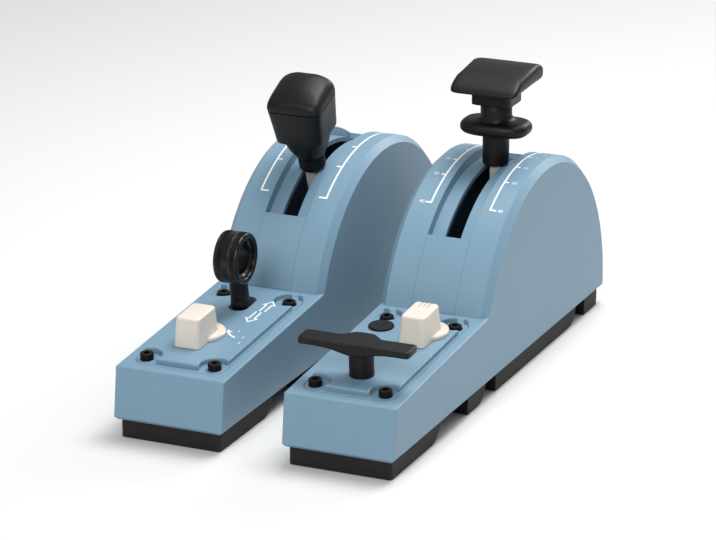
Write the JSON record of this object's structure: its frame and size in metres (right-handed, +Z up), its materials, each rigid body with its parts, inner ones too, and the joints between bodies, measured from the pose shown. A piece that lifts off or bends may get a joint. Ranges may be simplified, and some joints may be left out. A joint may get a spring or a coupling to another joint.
{
  "type": "throttle quadrant",
  "caption": "Desk-top flight control modules with a speed-brake lever, a wheel-shaped gear lever, a flaps lever with lifting collar, a tee handle, rotary knobs and a push button.",
  "frame": {"origin": "on the desk, under the middle of the whole pair", "axes": "+Z up, +Y from the user to the rear of the modules, +X to the user's right"},
  "size_m": [0.1574, 0.3038, 0.1586],
  "materials": {
    "blue_plastic": "satin moulded",
    "black_plastic": "fine matt",
    "black_grip": "satin",
    "cream_plastic": "satin",
    "grey_steel": "brushed",
    "black_steel": "blackened",
    "spring_steel": "bright",
    "brass": "turned",
    "rubber": "matt",
    "fibre": "matt",
    "board_green": "lacquered"
  },
  "bodies": {
    "modules": {"left_housing": "blue_plastic", "left_channel_strip": "blue_plastic", "left_panel_plate": "blue_plastic", "left_panel_screws": "grey_steel", "left_base": "black_plastic", "left_feet": "rubber", "left_base_screws": "black_steel", "left_base_inserts": "brass", "left_pivot_bracket": "black_plastic", "left_axle": "grey_steel", "left_axle_nuts": "grey_steel", "left_friction_washers": "fibre", "left_angle_sensor": "black_plastic", "left_circuit_board": "board_green", "right_housing": "blue_plastic", "right_channel_strip": "blue_plastic", "right_panel_plate": "blue_plastic", "right_panel_screws": "grey_steel", "right_base": "black_plastic", "right_feet": "rubber", "right_base_screws": "black_steel", "right_base_inserts": "brass", "right_pivot_bracket": "black_plastic", "right_axle": "grey_steel", "right_axle_nuts": "grey_steel", "right_friction_washers": "fibre", "right_angle_sensor": "black_plastic", "right_circuit_board": "board_green", "gear_pivot_pin": "grey_steel", "gear_fork": "black_plastic", "autobrake_switch": "black_plastic", "flaps_detent_comb": "grey_steel", "park_switch": "black_plastic", "trim_encoder": "black_plastic", "reset_switch": "black_plastic", "reset_spring": "spring_steel"},
    "brake_lever": {"brake_arm": "grey_steel", "brake_sleeve": "black_grip"},
    "brake_grip": {"brake_knob": "black_grip", "brake_knob_cap": "black_grip"},
    "gear_lever": {"gear_tyre": "black_grip", "gear_rim": "black_plastic", "gear_stem": "black_grip"},
    "autobrake_control": {"autobrake_knob": "cream_plastic", "autobrake_shaft": "grey_steel"},
    "flaps_lever": {"flaps_arm": "grey_steel", "flaps_sleeve": "black_grip", "flaps_grip": "black_grip", "flaps_collar_spring": "spring_steel"},
    "flaps_lift": {"flaps_collar": "black_grip", "flaps_release_rod": "grey_steel"},
    "park_control": {"park_handle": "black_grip", "park_shaft": "grey_steel"},
    "trim_control": {"trim_knob": "cream_plastic", "trim_shaft": "grey_steel"},
    "reset_control": {"reset_button": "black_grip"}
  },
  "joints": [
    {"name": "brake_swing", "type": "hinge", "parent": "modules", "child": "brake_lever", "pos_m": [-0.04775, 0.0593, 0.0169], "axis": [1, 0, 0], "range_deg": [-42.5, 16.7]},
    {"name": "brake_pull", "type": "slide", "parent": "brake_lever", "child": "brake_grip", "axis": [0, -0.3404, 0.9403], "range_m": [0, 0.005]},
    {"name": "gear_tilt", "type": "hinge", "parent": "modules", "child": "gear_lever", "pos_m": [-0.04925, -0.058, 0.03666], "axis": [1, 0, 0], "range_deg": [-26, 0]},
    {"name": "autobrake_turn", "type": "hinge", "parent": "modules", "child": "autobrake_control", "pos_m": [-0.05115, -0.10181, 0.04213], "axis": [0, -0.0689, 0.9976], "range_deg": [-60, 60]},
    {"name": "flaps_swing", "type": "hinge", "parent": "modules", "child": "flaps_lever", "pos_m": [0.04775, 0.0593, 0.0169], "axis": [1, 0, 0], "range_deg": [-20, 32.5]},
    {"name": "flaps_collar_lift", "type": "slide", "parent": "flaps_lever", "child": "flaps_lift", "axis": [0, 0, 1], "range_m": [0, 0.005], "stiffness_N_per_m": 200, "springref_m": -0.006, "deforming": ["flaps_collar_spring"]},
    {"name": "park_turn", "type": "hinge", "parent": "modules", "child": "park_control", "pos_m": [0.04775, -0.12087, 0.04081], "axis": [0, -0.0689, 0.9976], "range_deg": [0, 90]},
    {"name": "trim_turn", "type": "hinge", "parent": "modules", "child": "trim_control", "pos_m": [0.05755, -0.06031, 0.045], "axis": [0, -0.0689, 0.9976], "range_deg": [-45, 45], "stiffness_Nm_per_rad": 0.03},
    {"name": "reset_press", "type": "slide", "parent": "modules", "child": "reset_control", "axis": [0, 0.0689, -0.9976], "range_m": [0, 0.0015], "stiffness_N_per_m": 400, "springref_m": -0.0015, "deforming": ["reset_spring"]}
  ]
}
